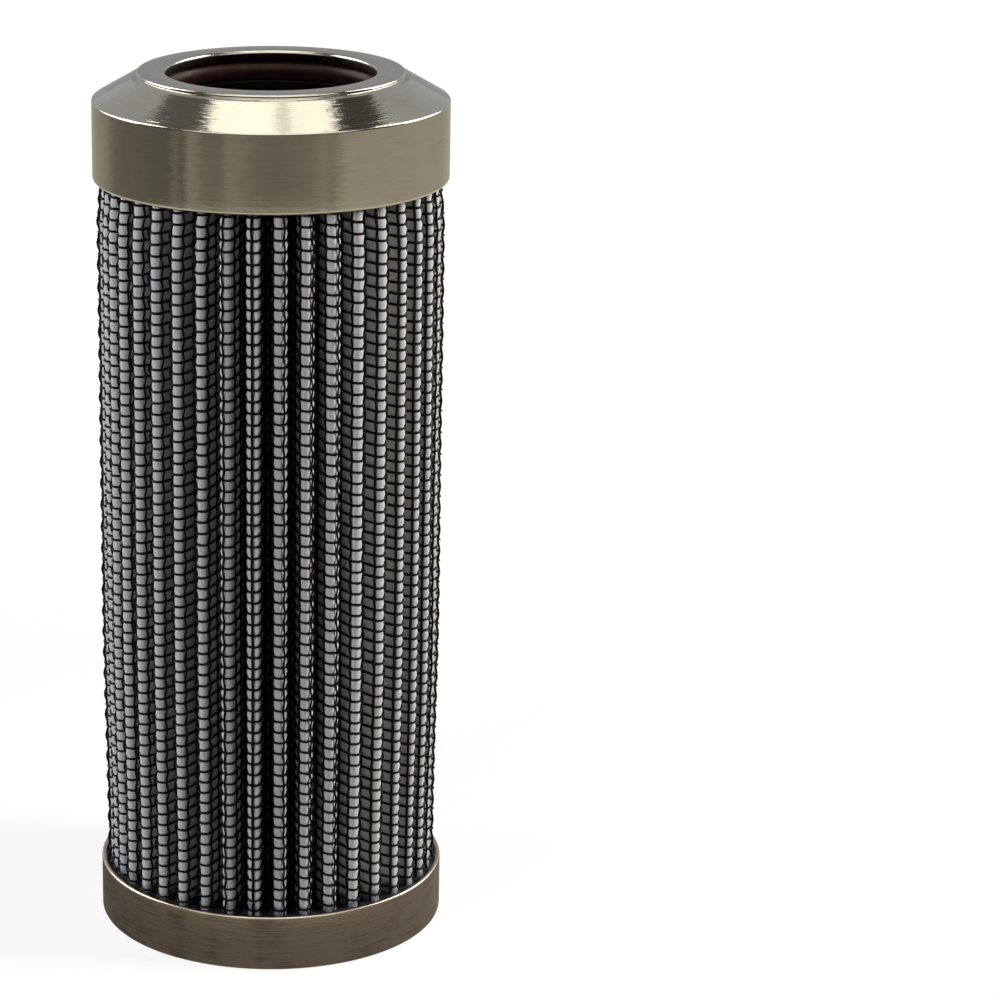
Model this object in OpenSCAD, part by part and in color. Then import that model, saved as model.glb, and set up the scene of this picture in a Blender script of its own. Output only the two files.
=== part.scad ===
// Pleated hydraulic filter element. Glass-fibre media is pleated between woven wire meshes
// round a perforated tube, and the pack is potted into an open end cap and a closed cup.
// The origin is the centre of the closed cap's underside, and +Z runs up through the open end.

/* [Element] */
// Height from the closed cap's underside to the open end's face
element_h = 110; // [80:1:200]
// Outside diameter of both end caps
cap_od = 44; // [42:0.5:60]
// Bore of the open end, which slides over a spigot
bore_d = 25.8; // [20:0.2:27]

/* [Open end cap] */
// Height of the cap from the skirt's lower edge to its face
open_cap_h = 13.3; // [12:0.1:20]
// Drop from the face to the foot of the cone
cone_h = 3.5; // [2.5:0.1:5]
// Width of the raised flat face round the bore
face_w = 3.55; // [3:0.05:4.5]
// Height of the raised face above its ledge
face_step = 0.4; // [0.35:0.05:0.8]
// Width of the ledge between the raised face and the cone
ledge_w = 0.65; // [0.3:0.05:1]
// Drop across the ledge
ledge_drop = 0.25; // [0.1:0.05:0.5]
// Thickness of the skirt's wall
skirt_wall = 0.65; // [0.5:0.05:1.2]
// Thickness of metal between the adhesive trough and what lies above it
roof_t = 1.2; // [0.8:0.1:2]
// Length of the bore from the face to the collar's end
bore_l = 12; // [9:0.1:16]
// Thickness of the collar's wall
collar_wall = 0.9; // [0.6:0.1:1.5]
// Radius of the bore's two mouths
mouth_r = 0.3; // [0.1:0.05:0.4]
// Radius of the raised face's outer edge
face_edge_r = 0.3; // [0.1:0.05:0.3]
// Radius of the edge between cone and skirt
shoulder_r = 0.25; // [0.1:0.05:0.6]
// Radius of the skirt's lower outer edge
lip_r = 0.3; // [0.1:0.05:0.4]

/* [Bore seal] */
// Section diameter of the O-ring
seal_section = 2.4; // [1.8:0.1:2.6]
// How far the O-ring stands into the bore
seal_proud = 0.2; // [0.05:0.05:0.4]
// Land between the face and the O-ring's groove
seal_land = 1.3; // [0.8:0.1:2]
// Clearance between the O-ring and its groove
seal_gap = 0.05; // [0.02:0.01:0.1]

/* [Closed end cap] */
// Height of the cup
closed_cap_h = 7.2; // [5:0.1:15]
// Thickness of the cup's wall
cup_wall = 0.65; // [0.5:0.05:1.2]
// Thickness of the cup's floor
plate_t = 1.2; // [0.8:0.1:2]
// Radius of the cup's lower outer edge
foot_r = 0.5; // [0.2:0.1:1]
// Radius of the cup's rim
rim_r = 0.2; // [0.1:0.05:0.4]

/* [Adhesive] */
// Thickness of adhesive between the pack's ends and the metal
bed_t = 1; // [0.5:0.1:1.5]
// Depth of the adhesive's surface inside the open cap's skirt
open_recess = 0.8; // [0.3:0.1:2]
// Depth of the adhesive's surface below the cup's rim
closed_recess = 0.3; // [0.2:0.1:1]
// Width of the adhesive bead along the pack's side seam
seam_w = 0.7; // [0.5:0.1:1]

/* [Core tube] */
// Thickness of the tube's wall
tube_wall = 0.8; // [0.5:0.1:1.2]
// Clearance between the tube and the collar inside it
tube_gap = 0.1; // [0.05:0.05:0.3]
// Diameter of the perforations
hole_d = 5; // [3:0.25:6]
// Distance between rows of perforations
hole_pitch = 8; // [7.5:0.25:12]
// Perforations in each row
holes_round = 10; // [6:1:10]

/* [Pleated pack] */
// Thickness of each woven wire mesh
mesh_t = 0.25; // [0.2:0.05:0.3]
// Thickness of each protective scrim
scrim_t = 0.1; // [0.05:0.01:0.15]
// Thickness of the glass-fibre media
media_t = 0.3; // [0.2:0.02:0.4]
// Inside radius of the folds
fold_r = 0.05; // [0.04:0.01:0.15]
// Gap between neighbouring pleats at the tube
root_gap = 0.38; // [0.15:0.01:0.6]
// Clearance between the pleats' crests and the caps' walls
crest_gap = 0.15; // [0.1:0.05:0.4]
// Clearance between the pleats' roots and the tube
tube_clear = 0.1; // [0.05:0.05:0.3]
// Turn of the first crest from the front, which is -Y
first_crest = 3.1; // [0:0.1:8]

/* [Wire mesh] */
// Diameter of the mesh's wires
wire_d = 0.25; // [0.15:0.01:0.28]
// Spacing of the upright wires along the mesh
wire_pitch = 1.95; // [1.4:0.05:2.6]
// Share of a spacing from the middle of the first crest to its nearest upright wire
first_wire = 0.25; // [0:0.05:0.95]
// Share of a spacing by which the upright wires shift from one pleat to the next
wire_drift = 0.2; // [0:0.05:0.5]
// How far down a pleat's flanks its wires stand clear of the next pleat's
wire_reach = 2.2; // [1:0.1:2.5]

/* [Hidden] */
$fn = 96;
hole_fn = 40;
wire_fn = 16;
cut = 1;

cap_r = cap_od / 2;
bore_r = bore_d / 2;
skirt_in = cap_r - skirt_wall;
cup_in = cap_r - cup_wall;
collar_r = bore_r + collar_wall;
tube_in = collar_r + tube_gap;
tube_r = tube_in + tube_wall;

// Heights in the open cap, worked down from its face
skirt_z = element_h - open_cap_h;
collar_z = element_h - bore_l;
groove_top = element_h - seal_land;
groove_foot = groove_top - seal_section - 2 * seal_gap;
roof_z = min(element_h - cone_h, groove_foot) - roof_t;
seal_in = bore_r - seal_proud;
groove_r = seal_in + seal_section + seal_gap;

// The pack and the tube stand between a bed of adhesive at each end
pack_z0 = plate_t + bed_t;
pack_z1 = roof_z - bed_t;
closed_level = closed_cap_h - closed_recess;
open_level = skirt_z + open_recess;

// A pleat is a crest arc and a root arc about fixed centres, joined by straight flanks.
// Each layer's faces are the same arcs at their own distance from the pack's middle.
pack_t = 2 * mesh_t + 2 * scrim_t + media_t;
fold_mid = fold_r + pack_t / 2;
pleat_w = 2 * (fold_r + pack_t);
crest_c = min(skirt_in, cup_in) - crest_gap - pleat_w / 2;
root_c = tube_r + tube_clear + pleat_w / 2;
pleats = floor(2 * PI * root_c / (pleat_w + root_gap));
pleat_step = 360 / pleats;
centres = root_c * [sin(pleat_step / 2), cos(pleat_step / 2)] - [0, crest_c];
lean = atan2(centres.x, -centres.y) - asin(2 * fold_mid / norm(centres));
flank_out = [cos(lean), sin(lean)];
flank_down = [sin(lean), -cos(lean)];
fold_chord = 0.42; // Longest chord that draws a fold's arc
seam_pleat = round((180 - first_crest) / pleat_step - 0.5);

mesh_out = pack_t / 2;
scrim_out = mesh_out - mesh_t;
media_out = scrim_out - scrim_t;

function rad(a) = a * PI / 180;
function deg(a) = a * 180 / PI;
function turned(p, a) = [p.x * cos(a) - p.y * sin(a), p.x * sin(a) + p.y * cos(a)];
// Turn that takes +Y to crest k
function crest_turn(k) = 180 + first_crest + k * pleat_step;
// Points on an arc from angle a to angle b
function arc(c, r, a, b, n = 6) = [for (i = [0 : n]) let (t = a + (b - a) * i / n)
  c + r * [cos(t), sin(t)]];

// A fold's arc about a centre on +Y, in chords no longer than fold_chord
function fold(c, r, a, b) = arc([0, c], r, a, b, max(2, ceil(rad(abs(b - a)) * r / fold_chord)));
// Outline of the pleated surface at distance s outwards from the pack's middle
function pleated_line(s) = [for (k = [0 : pleats - 1]) for (p = concat(
    fold(crest_c, fold_mid + s, lean, 180 - lean),
    [for (q = fold(root_c, fold_mid - s, -lean - pleat_step / 2, lean + pleat_step / 2 - 180))
      turned(q, pleat_step / 2)]))
  turned(p, crest_turn(k))];

// Sheet between two distances from the pack's middle, as a closed ring of pleats
module pleated_ring(inner, outer, z0, z1) {
  out = pleated_line(outer);
  in = pleated_line(inner);
  translate([0, 0, z0]) linear_extrude(z1 - z0) polygon(concat(out, in),
    [[for (i = [0 : len(out) - 1]) i], [for (i = [0 : len(in) - 1]) len(out) + i]]);
}

// Slot along the root at the back, where the pack's two ends meet
module seam(z0, z1) rotate(crest_turn(seam_pleat) - pleat_step / 2)
  translate([-seam_w / 2, root_c - pleat_w / 2, z0])
    cube([seam_w, pleat_w / 2, z1 - z0]);

module layer(inner, outer) difference() {
  pleated_ring(inner, outer, pack_z0, pack_z1);
  seam(pack_z0 - cut, pack_z1 + cut);
}

// Place on the outer mesh's face, at distance u along it from the middle of a crest
function on_mesh(u) =
  let (r = fold_mid + mesh_out, arc_l = r * rad(90 - lean), past = abs(u) - arc_l)
    past <= 0 ? [0, crest_c] + r * [sin(deg(u / r)), cos(deg(u / r))]
    : let (p = [0, crest_c] + r * flank_out + past * flank_down) [sign(u) * p.x, p.y];

module upright_wires() {
  reach = (fold_mid + mesh_out) * rad(90 - lean) + wire_reach;
  most = ceil(reach / wire_pitch) + 1;
  for (k = [0 : pleats - 1]) {
    turns = first_wire + wire_drift * k;
    shift = turns - floor(turns);
    for (i = [-most : most]) {
      u = (i + shift) * wire_pitch;
      if (abs(u) < reach) rotate(crest_turn(k)) translate([on_mesh(u).x, on_mesh(u).y, closed_level])
        cylinder(d = wire_d, h = open_level - closed_level, $fn = wire_fn);
    }
  }
}

// Pressed steel cup that closes the lower end
module closed_end_cap() color("#5f5548") rotate_extrude() polygon(concat(
  [[0, 0]],
  arc([cap_r - foot_r, foot_r], foot_r, -90, 0),
  arc([cap_r - rim_r, closed_cap_h - rim_r], rim_r, 0, 90),
  [[cup_in, closed_cap_h], [cup_in, plate_t], [0, plate_t]]));

// Adhesive cast into the cup round the ends of the pack and the tube
module closed_end_potting() color("#15161a") difference() {
  rotate_extrude() polygon([[0, plate_t], [cup_in, plate_t], [cup_in, closed_level],
    [tube_r, closed_level], [tube_r, pack_z0], [0, pack_z0]]);
  pleated_ring(-mesh_out, mesh_out, pack_z0, closed_level + cut);
  seam(pack_z0, closed_level + cut);
}

// Perforated steel tube that carries the pack from inside
module core_tube() color("#8d8b85") {
  low = closed_cap_h + hole_d;
  rows = floor((skirt_z - hole_d - low) / hole_pitch);
  difference() {
    translate([0, 0, pack_z0]) cylinder(r = tube_r, h = pack_z1 - pack_z0);
    translate([0, 0, pack_z0 - cut]) cylinder(r = tube_in, h = pack_z1 - pack_z0 + 2 * cut);
    for (row = [0 : rows]) for (i = [0 : holes_round - 1])
      rotate((i + row % 2 / 2) * 360 / holes_round)
        translate([0, tube_in - cut, low + row * hole_pitch]) rotate([-90, 0, 0])
          cylinder(d = hole_d, h = tube_wall + 2 * cut, $fn = hole_fn);
  }
}

module inner_mesh() color("#3a3d40") layer(-mesh_out, -scrim_out);

module inner_scrim() color("#e2e2de") layer(-scrim_out, -media_out);

module filter_media() color("#f2f2ee") layer(-media_out, media_out);

module outer_scrim() color("#d8d8d6") layer(media_out, scrim_out);

// Coated wire mesh on the outside of the pack. Its upright wires stand out as ridges.
module outer_mesh() color("#26282b") {
  layer(scrim_out, mesh_out);
  upright_wires();
}

// Adhesive that joins the two ends of the pleated strip
module seam_bead() color("#2b2c30") seam(pack_z0, pack_z1);

// Adhesive cast into the open cap's trough round the upper ends
module open_end_potting() color("#15161a") difference() {
  rotate_extrude() polygon([[tube_r, open_level], [skirt_in, open_level], [skirt_in, roof_z],
    [collar_r, roof_z], [collar_r, pack_z1], [tube_r, pack_z1]]);
  pleated_ring(-mesh_out, mesh_out, open_level - cut, pack_z1);
  seam(open_level - cut, pack_z1);
}

// Turned and plated steel cap with a raised face, a cone, a skirt and a grooved bore
module open_end_cap() color("#b9b3a2") {
  face_r = bore_r + face_w;
  cone_top = [face_r + ledge_w, element_h - face_step - ledge_drop];
  cone_foot = [cap_r, element_h - cone_h];
  slope = atan2(cone_top.y - cone_foot.y, cone_foot.x - cone_top.x);
  shoulder = cone_foot - shoulder_r * [1, (1 - sin(slope)) / cos(slope)];
  rotate_extrude() polygon(concat(
    arc([bore_r + mouth_r, element_h - mouth_r], mouth_r, 180, 90),
    arc([face_r - face_edge_r, element_h - face_edge_r], face_edge_r, 90, 0),
    [[face_r, element_h - face_step], cone_top],
    arc(shoulder, shoulder_r, 90 - slope, 0),
    arc([cap_r - lip_r, skirt_z + lip_r], lip_r, 0, -90),
    [[skirt_in, skirt_z], [skirt_in, roof_z], [collar_r, roof_z], [collar_r, collar_z]],
    arc([bore_r + mouth_r, collar_z + mouth_r], mouth_r, -90, -180),
    [[bore_r, groove_foot], [groove_r, groove_foot], [groove_r, groove_top], [bore_r, groove_top]]));
}

// Rubber O-ring in the bore's groove
module bore_o_ring() color("#2a1210") translate([0, 0, (groove_top + groove_foot) / 2])
  rotate_extrude() translate([seal_in + seal_section / 2, 0]) circle(d = seal_section);

closed_end_cap();
closed_end_potting();
core_tube();
inner_mesh();
inner_scrim();
filter_media();
outer_scrim();
outer_mesh();
seam_bead();
open_end_potting();
open_end_cap();
bore_o_ring();
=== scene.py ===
import bpy
import numpy as np
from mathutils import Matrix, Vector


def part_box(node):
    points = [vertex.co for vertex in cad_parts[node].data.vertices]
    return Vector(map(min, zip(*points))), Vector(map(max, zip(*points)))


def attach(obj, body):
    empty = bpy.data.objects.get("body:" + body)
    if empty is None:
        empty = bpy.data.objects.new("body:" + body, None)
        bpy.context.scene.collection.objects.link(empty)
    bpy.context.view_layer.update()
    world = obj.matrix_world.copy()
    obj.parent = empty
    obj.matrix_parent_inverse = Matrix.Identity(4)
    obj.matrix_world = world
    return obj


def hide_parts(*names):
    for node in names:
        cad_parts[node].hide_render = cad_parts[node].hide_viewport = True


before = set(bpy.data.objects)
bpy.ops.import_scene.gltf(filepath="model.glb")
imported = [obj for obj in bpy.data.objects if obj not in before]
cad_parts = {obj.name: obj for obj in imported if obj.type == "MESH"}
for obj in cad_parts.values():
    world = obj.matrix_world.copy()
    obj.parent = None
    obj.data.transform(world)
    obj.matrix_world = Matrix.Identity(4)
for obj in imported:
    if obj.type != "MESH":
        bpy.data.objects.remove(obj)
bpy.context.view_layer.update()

# Closed end cap. A shallow cup of sheet steel, pressed and trimmed to a square rim, then plated a
# dull brown. Fine marks run round it from polishing. It is bonded on by the adhesive cast inside.
mm = 0.001
cap_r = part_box("closed_end_cap")[1].x / mm
cup_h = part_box("closed_end_cap")[1].z / mm
cup_wall = 0.65
cup_floor = 1.2
disc_r = 2.0


def rounded(corners, radii, steps=5):
    """Outline with its corners rounded: a corner's arc touches both of its edges, and its centre
    stands on the line that halves the corner. Radius 0 keeps the corner sharp."""
    corners = np.array(corners, float)
    before, after = np.roll(corners, 1, 0), np.roll(corners, -1, 0)
    pieces = []
    for corner, previous, following, radius in zip(corners, before, after, radii):
        if radius == 0:
            pieces.append(corner[None])
            continue
        a = (previous - corner) / np.linalg.norm(previous - corner)
        b = (following - corner) / np.linalg.norm(following - corner)
        half = np.arccos(a @ b) / 2
        centre = corner + (a + b) / np.linalg.norm(a + b) * radius / np.sin(half)
        start = corner + a * radius / np.tan(half) - centre
        sweep = np.sign(a[1] * b[0] - a[0] * b[1]) * (np.pi - 2 * half) * np.linspace(0, 1, steps + 1)
        pieces.append(centre + np.stack([start[0] * np.cos(sweep) - start[1] * np.sin(sweep),
                                         start[0] * np.sin(sweep) + start[1] * np.cos(sweep)], axis=1))
    return np.concatenate(pieces)


def lay_grids(name, points, closed_rows=False, capped=False):
    """Mesh on grids of points, shaped grid, row, column, xyz, in mm. A face joins each point to the
    next in its column and its row, and the last column to the first. Closed rows join the last row
    to the first, and capped puts one flat face over each grid's first and last row. Where the
    volume inside comes out negative, all faces are turned over, so they point outwards."""
    grids, rows, columns = points.shape[:3]
    rows_joined = rows if closed_rows else rows - 1
    row, column = (n.ravel() for n in np.indices((rows_joined, columns)))
    row_on, column_on = (row + 1) % rows, (column + 1) % columns
    quads = np.stack([row * columns + column, row * columns + column_on,
                      row_on * columns + column_on, row_on * columns + column], axis=1)
    first = np.arange(grids)[:, None, None] * rows * columns
    faces = (first + quads).reshape(-1, 4).tolist()
    if capped:
        ring = np.arange(columns)
        lids = np.stack([ring[::-1], ring + (rows - 1) * columns])
        faces += (first + lids).reshape(-1, columns).tolist()
    corners = points.reshape(-1, 3) * mm
    mesh = bpy.data.meshes.new(name)
    mesh.from_pydata(corners.tolist(), [], faces)
    mesh.calc_loop_triangles()
    triangles = np.empty(len(mesh.loop_triangles) * 3, int)
    mesh.loop_triangles.foreach_get("vertices", triangles)
    a, b, c = corners[triangles.reshape(-1, 3)].transpose(1, 0, 2)
    if np.sum(a * np.cross(b, c)) < 0:
        mesh.flip_normals()
    mesh.polygons.foreach_set("use_smooth", np.ones(len(mesh.polygons), bool))
    mesh.set_sharp_from_angle(angle=np.radians(38))
    piece = bpy.data.objects.new(name, mesh)
    bpy.context.scene.collection.objects.link(piece)
    return piece


def turn_on_lathe(name, outline, capped=False, around=288):
    """Outline of radius and height, in mm, carried round the axis: x = r sin(a), y = -r cos(a).
    A ring's outline closes on itself; a capped one ends in two flat discs."""
    angle = np.linspace(0, 2 * np.pi, around, endpoint=False)
    radius, height = outline[:, :1], outline[:, 1:]
    points = np.stack([radius * np.sin(angle), -radius * np.cos(angle), height + 0 * angle], axis=2)
    return lay_grids(name, points[None], closed_rows=not capped, capped=capped)


def add(tree, kind, inputs=None, **settings):
    """Node of one kind, with its settings, and each input set to a value or fed by a socket."""
    node = tree.nodes.new("ShaderNode" + kind)
    for key, value in settings.items():
        setattr(node, key, value)
    for key, value in (inputs or {}).items():
        if isinstance(value, bpy.types.NodeSocket):
            tree.links.new(value, node.inputs[key])
        else:
            node.inputs[key].default_value = value
    return node


def new_finish(name, **sockets):
    """Material with one Principled shader, its sockets set by name; returns it with its tree."""
    material = bpy.data.materials.new(name)
    material.use_nodes = True
    surface = material.node_tree.nodes["Principled BSDF"]
    for key, value in sockets.items():
        surface.inputs[key.replace("_", " ")].default_value = value
    return material, material.node_tree, surface


def shade(tree, source, low, high, dark, light):
    """Colour that runs from dark to light as the source rises from low to high."""
    ramp = add(tree, "ValToRGB", {"Fac": source})
    for stop, position, colour in zip(ramp.color_ramp.elements, (low, high), (dark, light)):
        stop.position, stop.color = position, (*colour, 1)
    return ramp.outputs["Color"]


def mix_colours(tree, share, first, second):
    """Colour that goes from the first to the second as the share rises from 0 to 1."""
    mix = add(tree, "Mix", {"Factor": share}, data_type="RGBA")
    sockets = [socket for socket in mix.inputs if socket.type == "RGBA"]
    for socket, colour in zip(sockets, (first, second)):
        tree.links.new(colour, socket)
    return [socket for socket in mix.outputs if socket.type == "RGBA"][0]


def rescale(tree, source, low, high, to_low, to_high):
    """Value that runs from to_low to to_high as the source rises from low to high."""
    return add(tree, "MapRange", {"Value": source, "From Min": low, "From Max": high,
                                  "To Min": to_low, "To Max": to_high}).outputs["Result"]


def cloud(tree, size, detail=3.0, roughness=0.5, vector=None):
    """Noise whose blotches are about size mm across, on object coordinates unless fed a vector."""
    vector = vector or add(tree, "TexCoord").outputs["Object"]
    return add(tree, "TexNoise", {"Vector": vector, "Scale": 1 / (size * mm), "Detail": detail,
                                  "Roughness": roughness}).outputs["Fac"]


def work_out(tree, operation, *numbers):
    """Number that one operation, such as a sum or a product, makes of one or two numbers."""
    return add(tree, "Math", dict(enumerate(numbers)), operation=operation).outputs[0]


def coordinates(tree):
    """Object coordinates X, Y and Z, in metres."""
    return add(tree, "SeparateXYZ", {"Vector": add(tree, "TexCoord").outputs["Object"]}).outputs


def off_axis(tree, place):
    """Distance from the element's axis: the square root of x squared plus y squared."""
    squares = [work_out(tree, "POWER", place[axis], 2.0) for axis in "XY"]
    return work_out(tree, "SQRT", work_out(tree, "ADD", *squares))


def lathe_vector(tree, width, run):
    """Coordinates for marks left by turning: across them, radius less height divided by width;
    along them, x and y divided by run. Both are in mm, so marks are width wide and run long."""
    place = coordinates(tree)
    across = work_out(tree, "SUBTRACT", off_axis(tree, place), place["Z"])
    parts = [work_out(tree, "MULTIPLY", source, 1 / (size * mm))
             for source, size in ((place["X"], run), (place["Y"], run), (across, width))]
    return add(tree, "CombineXYZ", dict(zip("XYZ", parts))).outputs["Vector"]


def turning_marks(tree, width, run, detail=2.0):
    """Noise drawn out into marks that run round the axis."""
    return add(tree, "TexNoise", {"Vector": lathe_vector(tree, width, run), "Scale": 1.0,
                                  "Detail": detail}).outputs["Fac"]


def raise_marks(tree, surface, layers):
    """Bump made of layers of height and depth in mm, each feeding the next, into the shader."""
    normal = None
    for height, depth in layers:
        bump = add(tree, "Bump", {"Height": height, "Distance": depth * mm, "Strength": 1.0})
        if normal:
            tree.links.new(normal, bump.inputs["Normal"])
        normal = bump.outputs["Normal"]
    tree.links.new(normal, surface.inputs["Normal"])


def seat(piece, material, slot, *nodes):
    """Dresses a new piece: its material, its body and the CAD nodes it stands for, which it hides. The
    slot is not used.
    """
    piece.data.materials.append(material)
    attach(piece, "root")
    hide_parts(*nodes)


def dress(node, material):
    """Gives a kept CAD node its finish."""
    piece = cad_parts[node]
    piece.data.materials.clear()
    piece.data.materials.append(material)


cup_in = cap_r - cup_wall
cup = turn_on_lathe("closed_end_cup", rounded(
    [(disc_r, 0), (cap_r, 0), (cap_r, cup_h), (cup_in, cup_h), (cup_in, cup_floor), (disc_r, cup_floor)],
    [0, 0.5, 0.3, 0.2, 0, 0]), capped=True)
plated, tree, surface = new_finish("dull_plated_steel", Metallic=1.0, Roughness=0.3)
grain = work_out(tree, "ADD", turning_marks(tree, 0.16, 5.0, 4.0), cloud(tree, 4.0, 5.0, 0.6))
tree.links.new(shade(tree, grain, 0.75, 1.25, (0.305, 0.255, 0.205), (0.475, 0.405, 0.335)),
               surface.inputs["Base Color"])
tree.links.new(rescale(tree, turning_marks(tree, 0.12, 9.0), 0.3, 0.7, 0.2, 0.36),
               surface.inputs["Roughness"])
raise_marks(tree, surface, [(turning_marks(tree, 0.16, 14.0), 0.008), (cloud(tree, 0.5, 2.0), 0.004)])
seat(cup, plated, "closed_end_cap", "closed_end_cap")

# Pleated strip. Mesh, scrim, glass-fibre media, scrim and mesh are folded together into forty
# pleats and closed into a ring round the tube. Handling has set some crests a little out of line.
tube_r = 14.7
pleats = 40
fold_mid = 0.55
crest_c = 20.15
root_c = 15.85
pack_low = 2.2
pack_top = 104.0
first_crest = 3.1
crest_numbers = np.arange(-19, pleats - 19)
mesh_mid = 0.30
step = 2 * np.pi / pleats
bow_out = 0.3
bow_low, bow_high = 10.0, 97.0
bow_rise, bow_fall = 32.0, 6.0


def out(azimuth):
    """Unit vector at an azimuth from the front, which is -Y, turning towards +X."""
    return np.stack([np.sin(azimuth), -np.cos(azimuth)], axis=-1)


def swell(azimuth, middle, spread):
    """Bell curve over the azimuth, in degrees: 1 at its middle, small beyond twice its spread."""
    return np.exp(-(((azimuth - middle) + 180) % 360 - 180) ** 2 / spread ** 2)


straight_crest = np.radians(first_crest) + crest_numbers * step
straight_degrees = np.degrees(straight_crest)

# The crests lean over a little at the right, and more at the far left, in degrees.
lean = 1.6 * swell(straight_degrees, 68, 32) + 4.4 * swell(straight_degrees, -82, 12)
crest = straight_crest + np.radians(lean)
crest_at = crest_c * out(crest)


def flank_of(side):
    """One flank of every pleat, from the line between the crest's centre and the root's: the flank
    touches a circle of the fold's radius round each, so it is turned off that line by the angle
    whose sine is twice the radius over the centres' distance. Returns the root's centre, the turn
    of the normal from the crest's middle, and the flank's length."""
    root_at = root_c * out(straight_crest + side * step / 2)
    line = root_at - crest_at
    reach = np.linalg.norm(line, axis=1)
    heading = np.arctan2(line[:, 0], -line[:, 1]) + side * np.arcsin(2 * fold_mid / reach)
    turn = (side * (heading - crest) - np.pi / 2) % (2 * np.pi)
    return root_at, turn, np.sqrt(reach ** 2 - (2 * fold_mid) ** 2)


flanks = {side: flank_of(side) for side in (-1, 1)}
crest_bend = fold_mid + mesh_mid
root_bend = fold_mid - mesh_mid

# How far a fold turns at its root, from each flank to the middle between two crests.
half_root = {side: flanks[side][1] + side * (crest - straight_crest) - step / 2
             for side in (-1, 1)}


def on_pleats(distance, rise):
    """Places and outward normals on every pleat, shaped pleat, station. Distance runs from the
    crest's middle along the mesh: first it turns the normal round the crest's centre, then it goes
    straight down the flank, then it turns the normal back round the root's centre. Rise is how far
    the place stands outwards from the middle of the strip."""
    side = np.where(distance < 0, -1, 1)
    root_at = np.where((side < 0)[..., None], flanks[-1][0][:, None], flanks[1][0][:, None])
    turn = np.where(side < 0, flanks[-1][1][:, None], flanks[1][1][:, None])
    length = np.where(side < 0, flanks[-1][2][:, None], flanks[1][2][:, None])
    past = np.clip(np.abs(distance) - crest_bend * turn, 0, length)
    back = np.maximum(np.abs(distance) - crest_bend * turn - length, 0) / root_bend
    facing = crest[:, None] + side * (np.minimum(np.abs(distance) / crest_bend, turn) - back)
    normal = out(facing)
    down = side[..., None] * out(facing + np.pi / 2)
    high = crest_at[:, None] + (fold_mid + rise)[..., None] * normal + past[..., None] * down
    low = root_at - (fold_mid - rise)[..., None] * normal
    return np.where((back > 1e-9)[..., None], low, high), normal


def stations(on_crest, on_flank, on_root):
    """Distances along every pleat, from the middle of one root to just before the next: even steps
    round half a root, down a flank, over the crest, and back the same way."""
    root_share, flank_share, crest_share = (np.arange(n) / n for n in (on_root, on_flank, on_crest))
    left_turn, left_run = flanks[-1][1][:, None] * crest_bend, flanks[-1][2][:, None]
    right_turn, right_run = flanks[1][1][:, None] * crest_bend, flanks[1][2][:, None]
    left_root, right_root = half_root[-1][:, None] * root_bend, half_root[1][:, None] * root_bend
    return np.concatenate([
        -left_turn - left_run - left_root * (1 - root_share),
        -left_turn - left_run * (1 - flank_share),
        -left_turn + (left_turn + right_turn) * crest_share,
        right_turn + right_run * flank_share,
        right_turn + right_run + right_root * root_share], axis=1)


def bow(points):
    """Points with the pack's middle pushed outwards: not at all at the roots and next to the caps,
    and by bow_out at the crests over most of the height. A share t eases in as 3 t^2 - 2 t^3."""
    radius = np.linalg.norm(points[..., :2], axis=-1, keepdims=True)
    z = points[..., 2:]
    rise, fall = np.clip((z - bow_low) / bow_rise, 0, 1), np.clip((bow_high - z) / bow_fall, 0, 1)
    ease = rise ** 2 * (3 - 2 * rise) * fall ** 2 * (3 - 2 * fall)
    push = bow_out * ease * np.clip((radius - root_c) / (crest_c - root_c), 0, None)
    return np.concatenate([points[..., :2] * (1 + push / radius), z], axis=-1)


def pleated_sheet(name, inner, outer, heights, along):
    """Closed pleated sheet: up its outer face row by row, then down its inner face. Inner and
    outer are the rises of the faces, outer shaped row, pleat, station, and heights gives every
    row of the outer face its z."""
    flat = np.full(along.shape, inner)
    faces = []
    for rise, z in zip([*outer, flat, flat], [*heights, heights[-1], heights[0]]):
        place, _ = on_pleats(along, rise)
        faces.append(np.concatenate([place, z[..., None]], axis=2).reshape(1, -1, 3))
    return lay_grids(name, bow(np.concatenate(faces))[None], closed_rows=True)


# Inner mesh, inner scrim and media. They are hidden between the outer scrim and the tube, so they
# are plain folded sheets: coated wire cloth, thin nonwoven and white glass-fibre felt.
inner_layers = {"inner_mesh": (-0.5, -0.25), "inner_scrim": (-0.25, -0.15),
                "filter_media": (-0.15, 0.08)}
media_face = inner_layers["filter_media"][1]
plain = stations(6, 2, 2)
low_and_top = np.array([pack_low, pack_top])[:, None, None] + np.zeros((1,) + plain.shape)

coated, tree, surface = new_finish("coated_inner_cloth", Roughness=0.4)
weave = [add(tree, "TexWave", {"Vector": add(tree, "TexCoord").outputs["Object"], "Scale": 110.0},
             bands_direction=axis).outputs["Fac"] for axis in ("Z", "DIAGONAL")]
crossing = work_out(tree, "MAXIMUM", *weave)
tree.links.new(shade(tree, crossing, 0.45, 0.65, (0.45, 0.46, 0.46), (0.02, 0.021, 0.025)),
               surface.inputs["Base Color"])
raise_marks(tree, surface, [(crossing, 0.05)])

fibre, tree, surface = new_finish("glass_fibre_felt", Roughness=0.9)
tree.links.new(shade(tree, cloud(tree, 0.4, 4.0), 0.3, 0.7, (0.76, 0.76, 0.75), (0.86, 0.86, 0.84)),
               surface.inputs["Base Color"])
raise_marks(tree, surface, [(cloud(tree, 0.15, 3.0), 0.02)])

for node, finish, slot in (("inner_mesh", coated, "wire_mesh"), ("inner_scrim", fibre, "scrim"),
                           ("filter_media", fibre, "filter_media")):
    low, high = inner_layers[node]
    sheet = pleated_sheet(node + "_sheet", low, np.full(low_and_top.shape, high), low_and_top, plain)
    seat(sheet, finish, slot, node)

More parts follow.
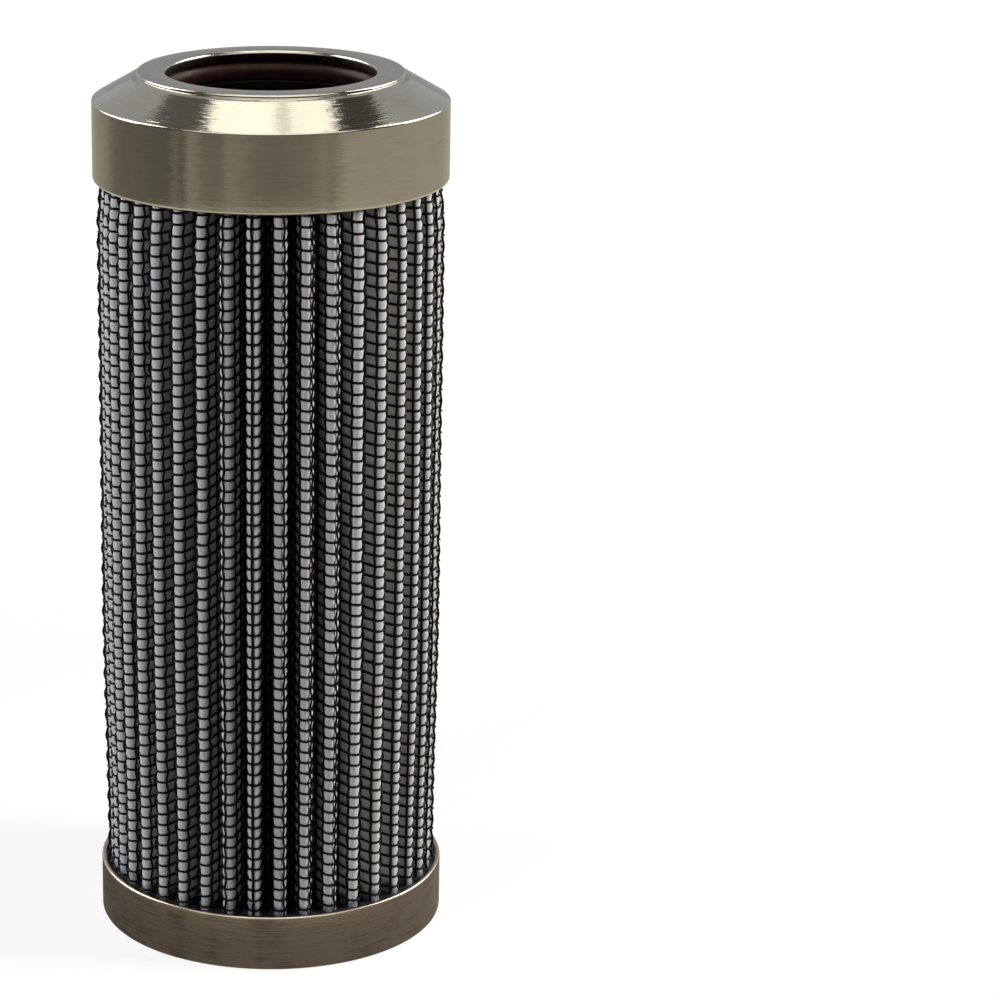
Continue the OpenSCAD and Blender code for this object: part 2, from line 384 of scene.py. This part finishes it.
# Outer scrim. Thin white nonwoven that the felt pushes out between the wires, so each cell of the
# mesh holds a small pillow. At the foot it has soaked up adhesive and is glazed bluish grey.
hoop_pitch = 1.4092
top_hoop = 95.211
hoops_above = 2
hoops = 65
upright_pitch = 1.95
# How far beside a crest's middle its nearest upright wire stands, by the crest's number, for the
# crests in front. On the others the wires move on evenly from crest to crest.
near_upright = {-11: 0.1, -10: 0.0, -9: 1.3, -8: 1.35, -7: 1.35, -6: 1.35, -5: 1.3, -4: 1.2,
                -3: -0.62, -2: -0.3, -1: -0.1, 0: 0.44, 1: 0.52, 2: 0.36, 3: -1.25, 4: -1.05,
                5: -0.92, 6: -0.92, 7: -1.0}
shift = np.array([near_upright.get(k, 0.4 * k % upright_pitch) for k in crest_numbers.tolist()])
press_in = 0.10
puff = 0.22
puff_edge = 0.32
puff_on_hoop = 0.15
askew = 0.42
askew_middle = 0.24


def hoop_height(row, crest_number):
    """Height of a hoop wire on a pleat: even steps down from the top one. The cloth lies askew, so
    a hoop stands higher at the right and lower at the left, by askew times the sine of the azimuth,
    and each pleat pulls it up or down a little by two slow sines of the row and the pleat's number."""
    tilt = askew * np.sin(np.radians(first_crest) + crest_number * step) - askew_middle
    pull = 0.045 * np.sin(1.9 * crest_number + 0.35 * row)
    return top_hoop - hoop_pitch * row + tilt + pull + 0.035 * np.sin(4.3 * crest_number - 0.9 * row)


number = crest_numbers[:, None]
along = stations(8, 3, 2)
half_rows = np.arange(-hoops_above, hoops - hoops_above - 0.25, 0.5)
rows_z = np.stack([hoop_height(row, number) + 0 * along for row in half_rows])
to_upright = np.abs((along - shift[:, None] + upright_pitch / 2) % upright_pitch - upright_pitch / 2)

# The felt puffs the scrim out between two uprights, and hardly at all under a hoop.
between = 1 - np.exp(-(to_upright / puff_edge) ** 2)
on_hoop = (half_rows % 1 == 0)[:, None, None]
pillows = press_in + puff * between * np.where(on_hoop, puff_on_hoop, 1.0)
pressed_row = np.full((1,) + along.shape, press_in)
low_row, top_row = (np.full((1,) + along.shape, z) for z in (pack_low, pack_top))
scrim = pleated_sheet("outer_scrim_sheet", media_face,
                      np.concatenate([pressed_row, pillows[::-1], pressed_row]),
                      np.concatenate([low_row, rows_z[::-1], top_row]), along)

nonwoven, tree, surface = new_finish("white_nonwoven", Specular_IOR_Level=0.1)
tide = rescale(tree, cloud(tree, 1.6), 0.3, 0.7, -0.9 * mm, 0.9 * mm)
ragged = work_out(tree, "ADD", coordinates(tree)["Z"], tide)
soaked = rescale(tree, ragged, 7.5 * mm, 8.6 * mm, 1.0, 0.0)
felt = shade(tree, cloud(tree, 0.25, 5.0, 0.6), 0.25, 0.75, (0.58, 0.58, 0.58), (0.71, 0.71, 0.705))
glazed = shade(tree, cloud(tree, 0.9), 0.3, 0.7, (0.16, 0.18, 0.22), (0.30, 0.33, 0.38))
tree.links.new(mix_colours(tree, soaked, felt, glazed), surface.inputs["Base Color"])
tree.links.new(rescale(tree, soaked, 0.0, 1.0, 0.85, 0.3), surface.inputs["Roughness"])
raise_marks(tree, surface, [(cloud(tree, 0.12, 4.0, 0.7), 0.02), (cloud(tree, 0.7), 0.05)])
seat(scrim, nonwoven, "scrim", "outer_scrim")

# Outer wire mesh. Round steel wires woven plain, one over and one under, and dipped in black
# epoxy. The hoop wires follow every pleat, and the upright wires weave in and out across them.
wire_r = 0.16
hoop_dip = 0.04
crest_crimp = 0.095
flank_crimp = 0.07
near_crest = 2.0
clear_of_root = 0.3


def draw_wire(paths, normals, binormals, radius, sides=4):
    """Round wire along paths, shaped wire, station, xyz: at each station the section's points are
    the radius times cos(a) along the normal and sin(a) along the binormal. Shaped for lay_grids."""
    a = np.linspace(0, 2 * np.pi, sides, endpoint=False)
    return bow(paths)[:, :, None] + radius * (normals[:, :, None] * np.cos(a)[:, None]
                                              + binormals[:, :, None] * np.sin(a)[:, None])


def weave_hoops(rows):
    """Hoop wires at the given rows: each follows the pleats at the mesh's middle, and dips by
    hoop_dip times the cosine of half a turn for each upright passed and each row."""
    around = stations(7, 3, 2)
    paths, normals = [], []
    for row in rows:
        wave = np.cos(np.pi * ((around - shift[:, None]) / upright_pitch + row))
        place, normal = on_pleats(around, mesh_mid - hoop_dip * wave)
        z = hoop_height(row, number) + 0 * around
        paths.append(np.concatenate([place, z[..., None]], axis=2).reshape(-1, 3))
        normals.append(np.concatenate([normal, 0 * z[..., None]], axis=2).reshape(-1, 3))
    paths, normals = np.array(paths), np.array(normals)
    return draw_wire(paths, normals, np.broadcast_to([0.0, 0.0, 1.0], paths.shape), wire_r)


def weave_uprights(near, crimp, per_pitch):
    """Upright wires, those near the crests' middles or the others. A wire's rise swings by the
    crimp times the cosine of half a turn for each hoop and each wire counted from the crest, the
    left side's swing more, and every wire drifts sideways by a slow sine. A wire in the middle of
    a root, or past it, is left out."""
    count = np.arange(-4, 5)
    crimp = crimp * (1 + 0.9 * swell(np.degrees(crest), -60, 36))[:, None]
    distance = shift[:, None] + count * upright_pitch
    left, right = (crest_bend * flanks[side][1] + flanks[side][2] + root_bend * half_root[side]
                   for side in (-1, 1))
    kept = (distance > clear_of_root - left[:, None]) & (distance < right[:, None] - clear_of_root)
    kept &= (np.abs(distance) < near_crest) == near
    row = np.arange(-hoops_above - 1, hoops - hoops_above + 0.01, 1 / per_pitch)
    paths, normals, across = [], [], []
    for one in row:
        swing = np.cos(np.pi * (one + count))
        drift = 0.045 * np.sin(0.23 * one + 1.3 * number)
        place, normal = on_pleats(distance + drift, mesh_mid + crimp * swing + 0 * distance)
        z = hoop_height(one, number) + 0 * distance
        paths.append(np.concatenate([place, z[..., None]], axis=2)[kept])
        normals.append(np.concatenate([normal, 0 * z[..., None]], axis=2)[kept])
    paths, normals = np.array(paths).transpose(1, 0, 2), np.array(normals).transpose(1, 0, 2)
    return draw_wire(paths, normals, np.cross([0.0, 0.0, 1.0], normals), wire_r)


black, tree, surface = new_finish("black_epoxy_coating", Specular_IOR_Level=0.06)
tree.links.new(shade(tree, cloud(tree, 0.8), 0.3, 0.7, (0.002, 0.002, 0.004), (0.006, 0.007, 0.010)),
               surface.inputs["Base Color"])
tree.links.new(rescale(tree, cloud(tree, 0.3), 0.3, 0.7, 0.3, 0.5), surface.inputs["Roughness"])
raise_marks(tree, surface, [(cloud(tree, 0.2), 0.01)])

rows = np.arange(-hoops_above, hoops - hoops_above)
for name, points, closed in (
        ("outer_mesh_hoops_upper", weave_hoops(rows[:hoops // 2]), True),
        ("outer_mesh_hoops_lower", weave_hoops(rows[hoops // 2:]), True),
        ("outer_mesh_uprights_crest", weave_uprights(True, crest_crimp, 3), False),
        ("outer_mesh_uprights_flank", weave_uprights(False, flank_crimp, 1), False)):
    wires = lay_grids(name, points, closed_rows=closed, capped=not closed)
    seat(wires, black, "wire_mesh", "outer_mesh")

# Adhesive in the closed cup. Black epoxy cast round the pack's end; it has crept a little way up
# each pleat and up the cup's wall before it set, and its surface between them is slightly hollow.
cast_level = 6.75
creep = 0.28
creep_width = 0.3
wall_steepness = 1.5
rim_gap = 0.01

ring_r = np.linspace(tube_r, cup_in - rim_gap, 30)
ring_a = np.linspace(0, 2 * np.pi, pleats * 20, endpoint=False)
field = ring_r[:, None, None] * out(ring_a)[None]
along = stations(10, 16, 4)
line = on_pleats(along, np.full(along.shape, mesh_mid))[0].reshape(-1, 2)

# How far each place of the surface is from the mesh, worked out in ten parts to spare memory.
nearest = np.concatenate([np.min(np.linalg.norm(part[:, :, None] - line, axis=3), axis=2)
                          for part in np.array_split(field, 10)])
to_wall = (cup_in - ring_r)[:, None] * wall_steepness
cast_z = cast_level + creep * np.exp(-np.minimum(nearest, to_wall) / creep_width)


def flat_ring(radius, z):
    """One row of points round the axis, at a radius and a height."""
    return np.concatenate([radius * out(ring_a), np.full((len(ring_a), 1), z)], axis=1)[None]


casting = lay_grids("closed_end_casting", np.concatenate([
    flat_ring(disc_r, pack_low), flat_ring(tube_r - rim_gap, pack_low),
    np.concatenate([field, cast_z[..., None]], axis=2),
    flat_ring(cup_in - rim_gap, cup_floor), flat_ring(disc_r, cup_floor)])[None], capped=True)
resin, tree, surface = new_finish("black_cast_epoxy", Roughness=0.35)
tree.links.new(shade(tree, cloud(tree, 1.2), 0.3, 0.7, (0.012, 0.013, 0.017), (0.035, 0.038, 0.046)),
               surface.inputs["Base Color"])
tree.links.new(rescale(tree, cloud(tree, 0.8), 0.3, 0.7, 0.25, 0.5), surface.inputs["Roughness"])
raise_marks(tree, surface, [(cloud(tree, 1.0), 0.08), (cloud(tree, 0.2), 0.015)])
seat(casting, resin, "potting", "closed_end_potting")

# Adhesive in the open cap and along the side seam. The same black epoxy: one is cast into the cap's
# trough round the pack's upper end, and the other joins the strip's two ends into a ring.
dress("open_end_potting", resin)
dress("seam_bead", resin)

# Core tube. Perforated steel strip, rolled into a tube and left bare. It holds the pack up from
# inside, and only its top is seen, down the bore.
rolled, tree, surface = new_finish("bare_rolled_steel", Metallic=1.0, Roughness=0.35)
tree.links.new(shade(tree, cloud(tree, 3.0, 4.0), 0.3, 0.7, (0.40, 0.39, 0.37), (0.56, 0.55, 0.52)),
               surface.inputs["Base Color"])
tree.links.new(rescale(tree, turning_marks(tree, 0.3, 12.0), 0.3, 0.7, 0.28, 0.5),
               surface.inputs["Roughness"])
raise_marks(tree, surface, [(turning_marks(tree, 0.25, 20.0), 0.006)])
dress("core_tube", rolled)

# Open end cap. Turned from steel bar and nickel plated: a raised flat face round the bore, a small
# step, a cone and a skirt that covers the pack's end. The tool's fine marks show through the plating.
element_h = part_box("open_end_cap")[1].z / mm
skirt_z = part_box("open_end_cap")[0].z / mm
bore_r = 12.9
face_r = 16.45
face_step_z = element_h - 0.4
cone_top = (17.1, element_h - 0.65)
cone_foot_z = element_h - 3.5
skirt_in = 21.35
roof_z = 105.0
collar_r = 13.8
collar_z = 98.0
groove_r = 15.15
groove_foot, groove_top = 106.2, 108.7


def work_out_vector(tree, operation, *vectors):
    """Vector that one operation, such as a sum or a cross product, makes of one or two vectors."""
    return add(tree, "VectorMath", dict(enumerate(vectors)), operation=operation).outputs[0]


cap = turn_on_lathe("open_end_turned_cap", rounded(
    [(bore_r, element_h), (face_r, element_h), (face_r, face_step_z), cone_top, (cap_r, cone_foot_z),
     (cap_r, skirt_z), (skirt_in, skirt_z), (skirt_in, roof_z), (collar_r, roof_z), (collar_r, collar_z),
     (bore_r, collar_z), (bore_r, groove_foot), (groove_r, groove_foot), (groove_r, groove_top),
     (bore_r, groove_top)],
    [0.5, 0.25, 0.08, 0.12, 0.3, 0.4, 0.1, 0.3, 0.3, 0.1, 0.3, 0.1, 0.2, 0.2, 0.1], steps=6), around=360)
nickel, tree, surface = new_finish("turned_nickel_plate", Metallic=1.0)
place = coordinates(tree)
radius = off_axis(tree, place)
# The bore's wall is coloured near black and made rougher. The near black is painted shade that stands in
# for the darkness deep in the bore, not a colour of the metal.
bore_wall_shade_mask = rescale(tree, radius, (bore_r + 0.03) * mm, (bore_r + 0.08) * mm, 1.0, 0.0)
grain = work_out(tree, "ADD", turning_marks(tree, 0.16, 2.5, 4.0), cloud(tree, 5.0, 5.0, 0.6))
tint = shade(tree, grain, 0.75, 1.25, (0.412, 0.39, 0.337), (0.452, 0.43, 0.377))
painted_bore_shade = shade(tree, cloud(tree, 1.0), 0.3, 0.7, (0.006, 0.004, 0.003), (0.016, 0.011, 0.009))
tree.links.new(mix_colours(tree, bore_wall_shade_mask, tint, painted_bore_shade), surface.inputs["Base Color"])
polish = rescale(tree, turning_marks(tree, 0.2, 8.0), 0.3, 0.7, 0.06, 0.13)
tree.links.new(rescale(tree, bore_wall_shade_mask, 0.0, 1.0, polish, 0.45), surface.inputs["Roughness"])
on_cone = rescale(tree, place["Z"], (cone_foot_z - 0.3) * mm, cone_foot_z * mm, 0.25, 1.0)
cone_marks = work_out(tree, "MULTIPLY", turning_marks(tree, 0.4, 3.5), on_cone)
raise_marks(tree, surface, [(cone_marks, 0.014), (turning_marks(tree, 0.1, 2.0), 0.001),
                            (cloud(tree, 1.6, 2.0), 0.01), (cloud(tree, 0.3, 3.0), 0.0012)])

# The tool's marks also throw reflections a little sideways, so the edges of every band are ragged:
# the normal is turned along the direction round the axis by a noise of fine, short marks.
raised = surface.inputs["Normal"].links[0].from_socket
outwards = add(tree, "TexCoord").outputs["Object"]
crossed = work_out_vector(tree, "CROSS_PRODUCT", (0, 0, 1), outwards)
round_axis = work_out_vector(tree, "NORMALIZE", crossed)
sideways = rescale(tree, turning_marks(tree, 0.09, 1.4, 3.0), 0.0, 1.0, -0.075, 0.075)
thrown = add(tree, "VectorMath", {0: round_axis, "Scale": sideways}, operation="SCALE").outputs[0]
turned = work_out_vector(tree, "NORMALIZE", work_out_vector(tree, "ADD", raised, thrown))
tree.links.new(turned, surface.inputs["Normal"])
seat(cap, nickel, "open_end_cap", "open_end_cap")

# O-ring in the bore. Moulded brown-black rubber, pressed into its groove, with a faint mould line
# and a film of grease that gives it a soft shine.
ring_section = 2.4
ring_mid = bore_r - 0.2 + ring_section / 2
ring_z = (groove_foot + groove_top) / 2
a = np.linspace(0, 2 * np.pi, 28, endpoint=False)
o_ring = turn_on_lathe("bore_seal_ring", np.stack([
    ring_mid + ring_section / 2 * np.cos(a), ring_z + ring_section / 2 * np.sin(a)], axis=1))
rubber, tree, surface = new_finish("greased_brown_rubber", Roughness=0.4, Specular_IOR_Level=0.15)
tree.links.new(shade(tree, cloud(tree, 2.0), 0.3, 0.7, (0.012, 0.004, 0.0035), (0.022, 0.007, 0.006)),
               surface.inputs["Base Color"])
tree.links.new(rescale(tree, cloud(tree, 0.8), 0.3, 0.7, 0.34, 0.54), surface.inputs["Roughness"])
raise_marks(tree, surface, [(turning_marks(tree, 0.3, 10.0), 0.006)])
seat(o_ring, rubber, "bore_o_ring", "bore_o_ring")

# Floor. A sheet of white paper. Its own glow lights nothing, and only the camera, metal and glass see
# it: white further out and a little duller close to the element.
scene = bpy.context.scene
scene.view_settings.view_transform = "Standard"
floor_half = 3.0


def flat_stage(name, corners, material):
    """Four-cornered sheet of the stage, in metres."""
    mesh = bpy.data.meshes.new(name)
    mesh.from_pydata(corners, [], [(0, 1, 2, 3)])
    mesh.materials.append(material)
    sheet = bpy.data.objects.new(name, mesh)
    scene.collection.objects.link(sheet)
    return sheet


def seen_directly(tree):
    """Share that is 1 for camera, glossy and transmission rays, and 0 for all other light."""
    path = add(tree, "LightPath").outputs
    either = work_out(tree, "MAXIMUM", path["Is Camera Ray"], path["Is Glossy Ray"])
    return work_out(tree, "MAXIMUM", either, path["Is Transmission Ray"])


def from_middle(tree):
    """Distance from the middle of the floor, in metres."""
    place = add(tree, "TexCoord").outputs["Object"]
    return add(tree, "VectorMath", {0: place}, operation="LENGTH").outputs["Value"]


paper, tree, surface = new_finish("white_paper", Base_Color=(0.2, 0.2, 0.2, 1), Roughness=0.9,
                                  Emission_Color=(1, 1, 1, 1), Specular_IOR_Level=0.0)
paper_white = rescale(tree, from_middle(tree), 0.1, 0.5, 0.855, 1.0)
tree.links.new(work_out(tree, "MULTIPLY", paper_white, seen_directly(tree)),
               surface.inputs["Emission Strength"])
flat_stage("floor", [(-floor_half, -floor_half, 0), (floor_half, -floor_half, 0),
                     (floor_half, floor_half, 0), (-floor_half, floor_half, 0)], paper)

# Bench card. It lies on the floor and only polished metal sees it: streaks of one tan, lighter and
# darker by azimuth, which the skirt shows as upright bands. Close in it is dull brown round the
# cup, and then pale.
bench_half, above_floor = 1.06, 0.00005


def seen_in_metal_only(sheet):
    """Hides a card from everything but reflections."""
    sheet.visible_camera = False
    sheet.visible_diffuse = False
    sheet.visible_shadow = False
    sheet.visible_transmission = False


def glow(name, colour=(1, 1, 1)):
    """Even glow for a card, at a strength of 1; returns it with its tree and its light."""
    material = bpy.data.materials.new(name)
    material.use_nodes = True
    tree = material.node_tree
    tree.nodes.clear()
    light = add(tree, "Emission", {"Color": (*colour, 1), "Strength": 1.0})
    add(tree, "OutputMaterial", {"Surface": light.outputs[0]})
    return material, tree, light


bench, tree, light = glow("bench_card")
place = coordinates(tree)
ahead = work_out(tree, "MULTIPLY", place["Y"], -1.0)
azimuth = work_out(tree, "ARCTAN2", place["X"], ahead)
spot = rescale(tree, azimuth, -np.pi, np.pi, 0.0, 1.0)
ramp = add(tree, "ValToRGB", {"Fac": spot})
tan = np.array([1.0, 0.92, 0.75])
streaks = [(-180, 0.46), (-130, 0.40), (-116, 0.23), (-67, 0.17), (-62, 0.29), (-57, 0.15),
           (-52, 0.42), (-43, 0.28), (-32, 0.26), (-26, 0.40), (-12, 0.30), (0, 0.25), (26, 0.31),
           (32, 0.40), (38, 0.33), (48, 0.55), (110, 0.58), (140, 0.51), (180, 0.46)]
stops = ramp.color_ramp.elements
stops[0].position, stops[0].color = 0.0, (*streaks[0][1] * tan, 1)
stops[-1].position, stops[-1].color = 1.0, (*streaks[-1][1] * tan, 1)
for degrees, lightness in streaks[1:-1]:
    stops.new(degrees / 360 + 0.5).color = (*lightness * tan, 1)
brown = shade(tree, spot, 0.2, 0.8, (0.11, 0.10, 0.088), (0.26, 0.23, 0.20))
pale = shade(tree, spot, 0.2, 0.8, (0.80, 0.74, 0.57), (0.90, 0.83, 0.66))
past_cup = rescale(tree, from_middle(tree), 0.055, 0.075, 0.0, 1.0)
past_pale = rescale(tree, from_middle(tree), 0.24, 0.31, 0.0, 1.0)
close_in = mix_colours(tree, past_cup, brown, pale)
tree.links.new(mix_colours(tree, past_pale, close_in, ramp.outputs["Color"]), light.inputs["Color"])
seen_in_metal_only(flat_stage("bench_card", [
    (-bench_half, -bench_half, above_floor), (bench_half, -bench_half, above_floor),
    (bench_half, bench_half, above_floor), (-bench_half, bench_half, above_floor)], bench))

# Wall cards. A ring of upright grey cards stands round the bench, dark in front and a little darker
# straight behind than at the sides, and only polished metal sees them.
wall_r, wall_low, wall_top, wall_parts = 1.1, 0.001, 2.07, 24


def upright_card(name, distance, first, second, low, top, material):
    """Card from one azimuth to another at a distance from the axis, seen in metal only."""
    (x0, y0), (x1, y1) = distance * out(first), distance * out(second)
    seen_in_metal_only(flat_stage(name, [(x0, y0, low), (x1, y1, low), (x1, y1, top),
                                         (x0, y0, top)], material))


angles = np.linspace(0, 2 * np.pi, wall_parts + 1)
walls = {part: glow(f"wall_{part}", (grey, grey, 1.02 * grey))[0]
         for part, grey in (("front", 0.10), ("side", 0.54), ("back", 0.38))}
for i in range(wall_parts):
    part = "front" if i < 7 or i > 16 else "back" if i in (11, 12) else "side"
    upright_card(f"wall_card_{i}", wall_r, angles[i], angles[i + 1], wall_low, wall_top, walls[part])

# Cards overhead, which only polished metal sees: two dark flags, the bright face of the top softbox
# and a thin duller strip under it. Three bright cards, in front and at both sides behind, draw the
# fine light lines along the turned edges and the cup's rim.
edge_r, edge_low, edge_top = 0.5, 0.14, 0.74

# Each overhead card's x from and to, y from and to, height and brightness.
overhead = {"flag_left": (-0.29, -0.15, -0.1, 0.45, 0.59, 0.155),
            "flag_right": (0.15, 0.275, -0.1, 0.45, 0.59, 0.08),
            "dull_strip": (0.012, 0.046, -0.1, 0.45, 0.59, 1.55),
            "softbox_face": (-0.168, 0.168, -0.06, 0.32, 0.60, 2.4)}
for name, (x0, x1, y0, y1, z, bright) in overhead.items():
    warm = glow(name, (bright, 0.97 * bright, 0.87 * bright))[0]
    seen_in_metal_only(flat_stage(name, [(x0, y0, z), (x1, y0, z), (x1, y1, z), (x0, y1, z)], warm))
line_light = glow("line_light", (2.0, 1.95, 1.8))[0]
seen_in_metal_only(flat_stage("front_card", [(-0.5, -0.12, 0.60), (0.5, -0.12, 0.60),
                                             (0.65, -0.75, 0.42), (-0.65, -0.75, 0.42)], line_light))
rim_light = glow("rim_light", (6.0, 5.7, 5.1))[0]
for side in (-1, 1):
    upright_card(f"edge_card_{side + 1}", edge_r, side * np.radians(94), side * np.radians(134),
                 edge_low, edge_top, rim_light)

# World and lamps. The surround is white where the camera, metal or glass sees it and gives almost no
# light. Four soft lamps light the element: one above, one at each side and one in front at the left.
world = bpy.data.worlds.new("surround")
scene.world = world
world.use_nodes = True
tree = world.node_tree
tree.nodes.clear()
strength = rescale(tree, seen_directly(tree), 0.0, 1.0, 0.005, 1.0)
sky = add(tree, "Background", {"Color": (1, 1, 1, 1), "Strength": strength})
add(tree, "OutputWorld", {"Surface": sky.outputs[0]})


def softbox(name, place, aim, width, tall, watts, colour):
    """Area lamp at a place in metres, turned to shine at a point. Metal shows only the cards."""
    lamp = bpy.data.lights.new(name, "AREA")
    lamp.shape, lamp.size, lamp.size_y = "RECTANGLE", width, tall
    lamp.energy, lamp.color = watts, colour
    box = bpy.data.objects.new(name, lamp)
    box.visible_glossy = False
    box.location = place
    direction = np.array(aim, float) - np.array(place, float)
    tilt = np.arctan2(np.hypot(direction[0], direction[1]), -direction[2])
    box.rotation_euler = (tilt, 0, np.arctan2(direction[1], direction[0]) - np.pi / 2)
    scene.collection.objects.link(box)


softbox("top_softbox", (0, 0.13, 0.60), (0, 0.13, 0), 0.34, 0.38, 0.35, (1, 1, 1))
softbox("right_softbox", (0.52, -0.06, 0.32), (0, 0, 0.07), 0.16, 0.36, 3.9, (1.0, 0.97, 0.92))
softbox("left_softbox", (-0.52, 0.03, 0.12), (0, 0, 0.05), 0.16, 0.36, 1.25, (0.91, 0.94, 1.0))
softbox("front_softbox", (-0.37, -0.465, 0.26), (0, 0, 0.05), 0.2, 0.2, 1.4, (1.0, 0.97, 0.98))

# Camera: a long lens at table height, looking down a little, at the angle of the photograph.
camera = bpy.data.cameras.new("camera")
camera.lens, camera.sensor_width, camera.shift_x = 130.0, 36.0, 0.229
view = bpy.data.objects.new("camera", camera)
view.location = (0, -0.43634, 0.1918)
view.rotation_euler = (np.radians(72.586), 0, 0)
scene.collection.objects.link(view)
scene.camera = view
